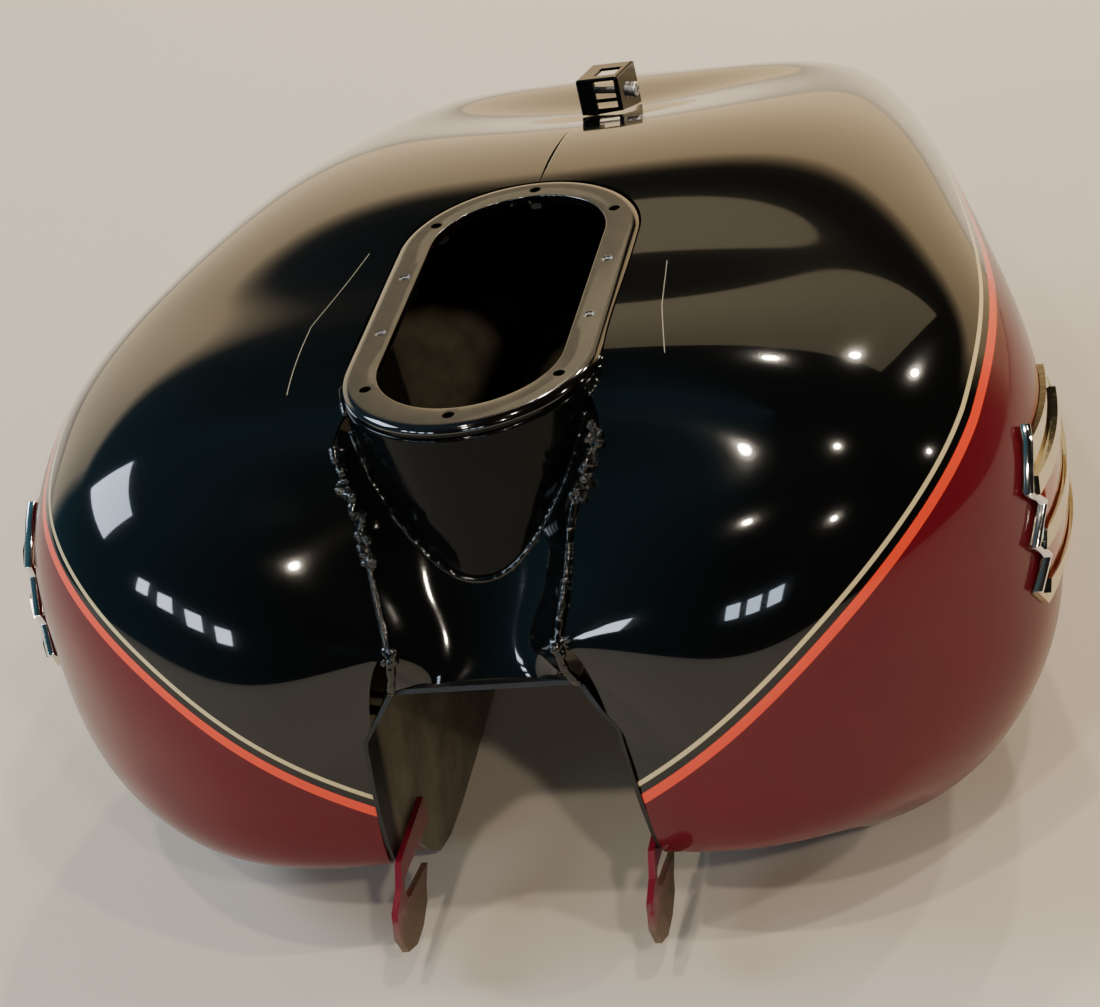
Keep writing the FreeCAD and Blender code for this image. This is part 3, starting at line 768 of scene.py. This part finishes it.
def swept_oval(name, profile):
    """Sweep (radius, height) points round the oval, as a closed loop of faces."""
    mesh = bmesh.new()
    rings = [[mesh.verts.new(oval(radius, k)[0] + Vector((0, 0, z))) for radius, z in profile]
             for k in range(OVAL_STEPS)]
    count = len(profile)
    for k in range(OVAL_STEPS):
        here, after = rings[k], rings[(k + 1) % OVAL_STEPS]
        for i in range(count):
            j = (i + 1) % count
            mesh.faces.new((here[i], here[j], after[j], after[i]))
    bmesh.ops.recalc_face_normals(mesh, faces=mesh.faces)
    return as_piece(name, mesh)


def arc(centre, radius, start, end, steps=6):
    """Points of an arc in the profile, angles in degrees from outwards, up being 90."""
    angles = [math.radians(start + (end - start) * k / steps) for k in range(steps + 1)]
    return [(centre[0] + radius * math.cos(a), centre[1] + radius * math.sin(a)) for a in angles]


SCREW_PITCH = 0.050
SCREWS_OUT = 0.0475         # the screws lie on an oval of this radius
CORNER_X = 0.0429           # where the four corner screws fall on it
SCREW_HOLE_R = 0.00265


def screw_places():
    """Centres of the ten flange screws, one pitch apart all the way round."""
    corner_y = math.sqrt(SCREWS_OUT**2 - CORNER_X**2) + END_CENTRE
    sides = [(sx, sy) for sx in (-1, 1) for sy in (-1, 1)]
    places = [(sx * SCREWS_OUT, sy * SCREW_PITCH / 2) for sx, sy in sides]
    places += [(sx * CORNER_X, sy * corner_y) for sx, sy in sides]
    return places + [(0, sy * (END_CENTRE + SCREWS_OUT)) for sy in (-1, 1)]


EDGE = 0.0050               # the outer edge is rolled over this far in
EDGE_DROP = 0.0036          # and this far down
ring_profile = [(RING_IN, -RING_THICK)] + arc((RING_IN + 0.0007, -0.0007), 0.0007, 180, 90, 4)
edge = arc((0, 0), 1, 90, 0, 10)     # a quarter circle, squashed to the edge's two sizes
ring_profile += [(RING_OUT - EDGE + EDGE * x, -EDGE_DROP * (1 - z)) for x, z in edge]
ring_profile.append((RING_OUT - 0.0006, -RING_THICK))
pump_ring = swept_oval("pump_ring", ring_profile)
for x, y in screw_places():
    clear_selection()
    bpy.ops.mesh.primitive_cylinder_add(vertices=32, radius=SCREW_HOLE_R, depth=0.02,
                                        location=(x, y, 0))
    drill = bpy.context.object
    cut_with(pump_ring, drill)
    bpy.data.objects.remove(drill)
smooth(pump_ring, 32)
dress(pump_ring, FLANGE)
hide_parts("pump_flange")
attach(pump_ring, "root")
print(pump_ring.name, len(pump_ring.data.polygons), "faces")

# %% [markdown]
# Looking into a screw hole at the side, one sees the bright thread of the weld nut behind
# it as a small crescent. A short plug with its bore set towards the front gives that shape.

# %% Threads that show in the side holes
THREAD_R, THREAD_BORE_R = 0.0026, 0.0017
BORE_SHIFT = (0.0002, -0.0009)
threads = []
for x, y in screw_places()[:4]:
    clear_selection()
    bpy.ops.mesh.primitive_cylinder_add(vertices=32, radius=THREAD_R, depth=0.002,
                                        location=(x, y, -0.0016))
    thread = bpy.context.object
    clear_selection()
    bpy.ops.mesh.primitive_cylinder_add(vertices=32, radius=THREAD_BORE_R, depth=0.01,
                                        location=(x + BORE_SHIFT[0], y + BORE_SHIFT[1], 0))
    bore = bpy.context.object
    cut_with(thread, bore)
    bpy.data.objects.remove(bore)
    threads.append(thread)
only(threads[0])
for thread in threads:
    thread.select_set(True)
bpy.ops.object.join()
threads = bpy.context.object
bpy.ops.object.transform_apply(location=True)
threads.name = threads.data.name = "screw_hole_threads"
smooth(threads, 35)
dress(threads, ZINC)
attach(threads, "root")
print(threads.name, len(threads.data.polygons), "faces")

# %% [markdown]
# The neck's wall is the same sweep, carried down far enough to meet the panel at the front.
# It is then cut off along a slanting line, as the real one is, because it is deep at the
# front and nearly flush at the rear.

# %% Neck wall
NECK_WALL = 0.002
STEP_IN = 0.0008
neck_profile = [(RING_OUT - NECK_WALL, -0.09), (RING_OUT - NECK_WALL, -RING_THICK)]
neck_profile += [(RING_OUT - STEP_IN, -RING_THICK), (RING_OUT - STEP_IN, -0.0055)]
neck_profile += arc((RING_OUT - 0.0015, -0.0075), 0.0015, 90, 0, 4) + [(RING_OUT, -0.09)]
neck = swept_oval("neck_wall", neck_profile)
slant = [(-0.12, 0), (-0.12, -0.077), (-0.104, -0.077), (-0.092, -0.058), (-0.062, -0.03),
         (-0.02, -0.016), (0.12, -0.014), (0.12, 0)]
neck_keep = solid_between("neck_keep", [(0.08, y, z) for y, z in slant],
                          [(-0.08, y, z) for y, z in slant])
cut_with(neck, neck_keep, "INTERSECT")
bpy.data.objects.remove(neck_keep)
smooth(neck, 35)
dress(neck, NECK_BLACK)
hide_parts("neck_collar")
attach(neck, "root")
print(neck.name, len(neck.data.polygons), "faces")

# %% [markdown]
# ## The channel panel
# Between the lobes a dished panel drops from the neck to the tunnel mouth. It was beaten
# from one sheet, so one net does for it: a rail down each side and one down the middle,
# with each row flat in the middle and turned up at the sides.

# %% Channel panel
PANEL_EDGE = [(42, -143.5, -110), (37, -144, -88), (42, -128, -68), (46, -112, -47),
              (54, -98, -31), (57, -80, -14)]
PANEL_CENTRE = [(0, -139, -110.5), (0, -128, -99), (0, -118, -85), (0, -109, -72),
                (0, -96, -54), (0, -80, -34)]


def channel_panel():
    """The panel as sheet, with the neck's hole cut out of it."""
    edge, centre = rail(PANEL_EDGE), rail(PANEL_CENTRE)
    rows, columns = 61, 65
    t, u = np.meshgrid(np.linspace(0, 5, rows), np.linspace(-1, 1, columns), indexing="ij")
    rise = (np.abs(u) ** 2.4)[..., None]
    points = centre(t) + (edge(t) - centre(t)) * rise
    points[..., 0] = edge(t)[..., 0] * u
    piece = net("channel_skin", rows, columns, points * MM)
    middle = piece.data.polygons[len(piece.data.polygons) // 2]
    if middle.normal.y > 0:
        piece.data.flip_normals()
    apply_modifier(piece, "wall", "SOLIDIFY", thickness=SKIN, offset=-1, use_even_offset=True)
    cut_with(piece, neck_cutter)
    return piece


channel = channel_panel()
smooth(channel, 40)
dress(channel, BLACK)
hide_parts("channel_panel")
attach(channel, "root")
print(channel.name, len(channel.data.polygons), "faces")
for cutter in (neck_cutter, tunnel_cutter):
    bpy.data.objects.remove(cutter)

# %% [markdown]
# ## Welds
# A hand weld is a row of puddles that ran together, some proud and some sunken, and paint
# flows over them and rounds every hollow. So each run starts as small balls strung along
# the joint, of uneven size, which a voxel remesh joins into one skin; a smoothing pass then
# does what the paint did.

# %% Weld beads


class Seeded:
    """A short repeatable run of numbers between -1 and 1."""

    def __init__(self, seed):
        self.state = seed

    def next(self):
        self.state = (self.state * 1103515245 + 12345) % 2147483648
        return self.state / 1073741824 - 1


def weld_run(name, balls, voxel_mm=0.45, smoothing=9):
    """Join balls, each a centre and a radius, into one smooth bead."""
    mesh = bmesh.new()
    for centre, radius in balls:
        bmesh.ops.create_icosphere(mesh, subdivisions=2, radius=radius,
                                   matrix=Matrix.Translation(centre))
    piece = as_piece(name, mesh)
    apply_modifier(piece, "join", "REMESH", mode="VOXEL", voxel_size=voxel_mm * MM)
    apply_modifier(piece, "flow", "SMOOTH", factor=0.6, iterations=smoothing)
    smooth(piece, 180)
    return piece


def surface_tree(pieces):
    """One search tree over several pieces, to lay things on them."""
    points, faces = [], []
    for piece in pieces:
        base = len(points)
        points += [v.co.copy() for v in piece.data.vertices]
        faces += [[base + k for k in face.vertices] for face in piece.data.polygons]
    return BVHTree.FromPolygons(points, faces)


def along(curve, t0, t1, spacing_mm):
    """Points spaced evenly by length along a rail, in metres."""
    fine = curve(np.linspace(t0, t1, 400)) * MM
    steps = np.linalg.norm(np.diff(fine, axis=0), axis=1)
    reach = np.concatenate([[0], np.cumsum(steps)])
    count = max(int(reach[-1] / (spacing_mm * MM)), 2)
    return [Vector([np.interp(s, reach, fine[:, i]) for i in range(3)])
            for s in np.linspace(0, reach[-1], count + 1)]


def smooth_bead(points, radius_mm, odd, wander=0.1):
    """A fairly even bead: many small balls close together."""
    return [(p, radius_mm * MM * (1 + wander * odd.next())) for p in points]


def lumps(point, count, reach_mm, low_mm, high_mm, odd):
    """A cluster of blobs thrown about one point."""
    blobs = []
    for _ in range(count):
        shift = Vector((odd.next(), odd.next(), odd.next())) * reach_mm * MM
        size = (low_mm + high_mm) / 2 + (high_mm - low_mm) / 2 * odd.next()
        blobs.append((point + shift, size * MM))
    return blobs


edge_rail = rail(PANEL_EDGE)


def seam_weld(side, seed, rough_from, rough_to):
    """Weld between a lobe and the panel: lumpy where it was built up, smooth elsewhere."""
    odd = Seeded(seed)
    stand = Vector((0, -0.0004, 0.0004))
    balls = smooth_bead([p + stand for p in along(edge_rail, 0.98, 4.6, 1.0)], 1.9, odd)
    for p in along(edge_rail, rough_from, rough_to, 5.0):
        balls += lumps(p + stand * 2, 4, 2.4, 1.6, 3.0, odd)
    balls = [(Vector((side * c.x, c.y, c.z)), r) for c, r in balls]
    return weld_run(("right" if side > 0 else "left") + "_seam_bead", balls)


def mouth_weld(side, seed):
    """Weld down the side of the tunnel mouth, with a heap of puddles at its top corner."""
    odd = Seeded(seed)
    stand = Vector((0.0002, -0.0003, 0.0002))
    balls = smooth_bead([p + stand for p in along(edge_rail, 0.02, 0.98, 1.0)], 2.2, odd, 0.16)
    balls += lumps(Vector((0.0385, -0.1445, -0.0900)), 9, 3.4, 1.8, 3.2, odd)
    balls = [(Vector((side * c.x, c.y, c.z)), r) for c, r in balls]
    return weld_run(("right" if side > 0 else "left") + "_mouth_bead", balls)


for side, seed, lumpy in ((-1, 5, (2.5, 4.6)), (1, 11, (3.4, 4.6))):
    name = "right" if side > 0 else "left"
    for piece, node in ((seam_weld(side, seed, *lumpy), "_seam_weld"),
                        (mouth_weld(side, seed + 3), "_mouth_weld")):
        dress(piece, WELD)
        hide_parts(name + node)
        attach(piece, "root")
        print(piece.name, len(piece.data.polygons), "faces")

# %% [markdown]
# The neck's foot has no weld showing, only a thin fillet of filler under the paint. It is
# found by walking round the oval and dropping a plumb line onto the panel and the lobes.

# %% Fillet at the neck's foot
ground = surface_tree([channel, right_lobe, left_lobe])


def foot_of_neck():
    """Points on the ground all round the neck, where it stands clear of the lobes."""
    points = []
    for k in range(OVAL_STEPS * 4):
        angle = 2 * math.pi * (k + 0.5) / (OVAL_STEPS * 4)
        out = Vector((math.cos(angle), math.sin(angle), 0))
        spot = out * (RING_OUT + 0.0012)
        spot.y += math.copysign(END_CENTRE, out.y)
        hit = ground.ray_cast(spot + Vector((0, 0, -0.0002)), Vector((0, 0, -1)), 0.12)[0]
        if hit and hit.z < -0.006:
            points.append(hit + Vector((0, 0, 0.0001)) - out * 0.0006)
    return points


odd = Seeded(29)
fillet = weld_run("neck_fillet", smooth_bead(foot_of_neck(), 1.7, odd, 0.06), 0.5, 4)
dress(fillet, BLACK)
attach(fillet, "root")
print("fillet", len(fillet.data.polygons), "faces")

# %% [markdown]
# ## Badge edges
# The front edge of each badge is a bright zigzag bar with bevelled corners. Its section is
# swept along the zigzag: at each bend the section is mitred, which keeps the bar's width.
# The height of the lobe under each point is found with a ray from the side.

# %% Zigzag bars
ZIGZAG = [(-40, -64), (-46, -70), (-62, -84), (-53, -95), (-68, -107), (-59, -118), (-72, -129)]
BAR_SECTION = [(-2.0, 1.2), (-2.0, 4.0), (-1.1, 5.3), (1.1, 5.3), (2.0, 4.0), (2.0, 1.2)]
skin_tree = surface_tree([right_lobe])


def height_of_skin(y, z):
    """How far out the right lobe's skin lies at y, z."""
    return skin_tree.ray_cast(Vector((0.3, y, z)), Vector((-1, 0, 0)), 0.25)[0].x


def zigzag_bar():
    """The right badge's bar, row by row along the zigzag."""
    path = np.array(ZIGZAG, float)
    legs = np.diff(path, axis=0)
    legs /= np.linalg.norm(legs, axis=1)[:, None]
    rows = []
    for k, (y, z) in enumerate(path):
        before, after = legs[max(k - 1, 0)], legs[min(k, len(legs) - 1)]
        mitre = np.array([-(before + after)[1], (before + after)[0]])
        mitre /= np.linalg.norm(mitre)
        mitre /= max(mitre @ np.array([-after[1], after[0]]), 0.5)
        base = height_of_skin(y * MM, z * MM)
        ring = [(base + out * MM, (y + mitre[0] * across) * MM, (z + mitre[1] * across) * MM)
                for across, out in BAR_SECTION + BAR_SECTION[:1]]
        rows.append(ring)
    bar = net("right_badge_edge", len(rows), len(rows[0]), np.array(rows))
    edit_all(bar, merge, lambda: bpy.ops.mesh.fill_holes(sides=0), outward)
    apply_modifier(bar, "soft", "BEVEL", width=0.25 * MM, segments=2)
    return bar


right_bar = zigzag_bar()
for bar in (right_bar, mirror_copy(right_bar, "left_badge_edge")):
    smooth(bar, 30)
    dress(bar, BRIGHT)
    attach(bar, "root")
    print(bar.name, len(bar.data.polygons), "faces")

# %% [markdown]
# ## Finishes for the parts that keep their CAD shape
# These parts are already the right shape, so each only needs its finish.

# %% Materials for the CAD parts
FINISHES = {
    BLACK: ("rear_bracket", "rear_bracket_nut", "rear_mount_plate"),
    INSIDE: ("tunnel",),
    STEEL: ("flange_weld_nuts", "left_baffle", "right_baffle", "left_badge_studs",
            "right_badge_studs"),
    ZINC: ("rear_bracket_screw", "left_crossover_spigot",
           "right_crossover_spigot", "vent_tube"),
    CHROME_WITH_PAINTED_REFLECTION: ("left_badge_frame", "right_badge_frame"),
    ENAMEL: ("left_badge_inlay", "right_badge_inlay"),
    EAR: ("left_mount_ear", "right_mount_ear"),
}
for material, nodes in FINISHES.items():
    for node in nodes:
        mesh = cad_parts[node].data
        mesh.materials.clear()
        mesh.materials.append(material)
    print(material.name, len(nodes), "parts")

# %% [markdown]
# ## Floor and light
# Gloss black shows little of itself and much of what stands round it, so the light is
# arranged by what each part of the tank should mirror. A warm pale floor and a low warm
# glow behind it colour the crown and the tail; a window stands to the left, a dim warm
# panel hangs over the rear, and a few small round lamps hang over the front.

# %% Stage
FLOOR_Z = cad_box[0][2]
FLOOR_SIZE = 5.0


def pale_floor():
    """Warm white painted board, a little uneven over about a metre."""
    material, tree, place = new_material("pale_painted_floor")
    drift = add(tree, "TexNoise", place, 1000 / 900, 3.0)
    surface(tree, Roughness=0.75,
            Base_Color=add(tree, "Mix", drift, rgba("#CFC4B3"), rgba("#D6CBBB"),
                           data_type="RGBA"))
    return material


clear_selection()
bpy.ops.mesh.primitive_plane_add(size=FLOOR_SIZE, location=(0, 0, FLOOR_Z))
floor = bpy.context.object
floor.name = "studio_floor"
floor.data.materials.append(pale_floor())

AIM = Vector((0.02, -0.02, -0.06))


def direction(azimuth, elevation):
    """Unit vector: azimuth 0 is the rear, 90 the right, -90 the left."""
    a, e = math.radians(azimuth), math.radians(elevation)
    return Vector((math.sin(a) * math.cos(e), math.cos(a) * math.cos(e), math.sin(e)))


def soft_light(name, azimuth, elevation, distance, size, power, colour, shape="RECTANGLE"):
    """An area light that faces the tank from one direction, and the light itself."""
    data = bpy.data.lights.new(name, "AREA")
    data.shape = shape
    data.size = size[0]
    data.size_y = size[1]
    data.energy = power
    data.color = rgba(colour)[:3]
    light = bpy.data.objects.new(name, data)
    light.location = AIM + direction(azimuth, elevation) * distance
    light.rotation_euler = (AIM - light.location).to_track_quat("-Z", "Y").to_euler()
    bpy.context.scene.collection.objects.link(light)
    return light


soft_light("window_left", -90, 36, 3.0, (1.3, 0.9), 55, "#DCEBFF")
soft_light("rear_panel", 6, 40, 4.2, (3.2, 1.6), 16, "#E3CFA6")
for k in range(4):
    soft_light("pane_left_%d" % k, -127 - 8 * k, 21 - 2 * k, 3.0, (0.22, 0.34), 5, "#E4F0FF")
for k in range(3):
    soft_light("pane_front_%d" % k, 168 + 6 * k, 13, 3.0, (0.2, 0.3), 3, "#D8ECFF")
LAMPS = [(4, 57), (25, 47), (44, 37), (-158, 72), (124, 66), (88, 28), (-175, 50), (148, 36)]
for k, (azimuth, elevation) in enumerate(LAMPS):
    soft_light("lamp_%d" % k, azimuth, elevation, 3.0, (0.13, 0.13), 18, "#FFF1DC", "DISK")

# %% [markdown]
# The tail mirrors the floor behind the tank, so that stretch of floor has a light of its
# own. Its beam is narrow and points straight down, so the tank does not mirror it.

# %% Light on the floor behind
floor_light = soft_light("floor_behind", 0, 50, 2.4, (1.8, 1.0), 8, "#E8D6B8")
floor_light.location = (0, 1.55, 1.6)
floor_light.rotation_euler = (0, 0, 0)
floor_light.data.spread = math.radians(70)

# %% [markdown]
# The dome itself is nearly dark, a little blue-green to the left, with one warm band low
# over the rear. It is mixed from the direction alone.

# %% World


def studio_dome():
    """A dark room, teal to the left, with a warm wall low behind the tank."""
    world = bpy.data.worlds.new("studio")
    world.use_nodes = True
    tree = world.node_tree
    tree.nodes.clear()
    sky = add(tree, "TexCoord").node.outputs["Generated"]
    xyz = add(tree, "SeparateXYZ", sky).node.outputs
    around = add(tree, "Math", xyz["X"], xyz["Y"], operation="ARCTAN2")
    lift = add(tree, "Math", xyz["Z"], operation="ARCSINE")
    low = band(tree, lift, math.radians(-20), math.radians(21), math.radians(2.0))
    rear = band(tree, around, math.radians(-64), math.radians(46), math.radians(5))
    glow = add(tree, "Math", low, rear, operation="MULTIPLY")
    left = band(tree, around, math.radians(-150), math.radians(-40), math.radians(25))
    room = add(tree, "Mix", left, rgba("#181716"), rgba("#3A6270"), data_type="RGBA")
    warmth = add(tree, "MapRange", around, math.radians(-60), math.radians(-10))
    wall = add(tree, "Mix", warmth, rgba("#B0A694"), rgba("#C5AA81"), data_type="RGBA")
    colour = add(tree, "Mix", glow, room, wall, data_type="RGBA")
    strength = add(tree, "Math", glow, 1.3, 1.0, operation="MULTIPLY_ADD")
    add(tree, "OutputWorld", Surface=add(tree, "Background", colour, strength))
    return world


bpy.context.scene.world = studio_dome()
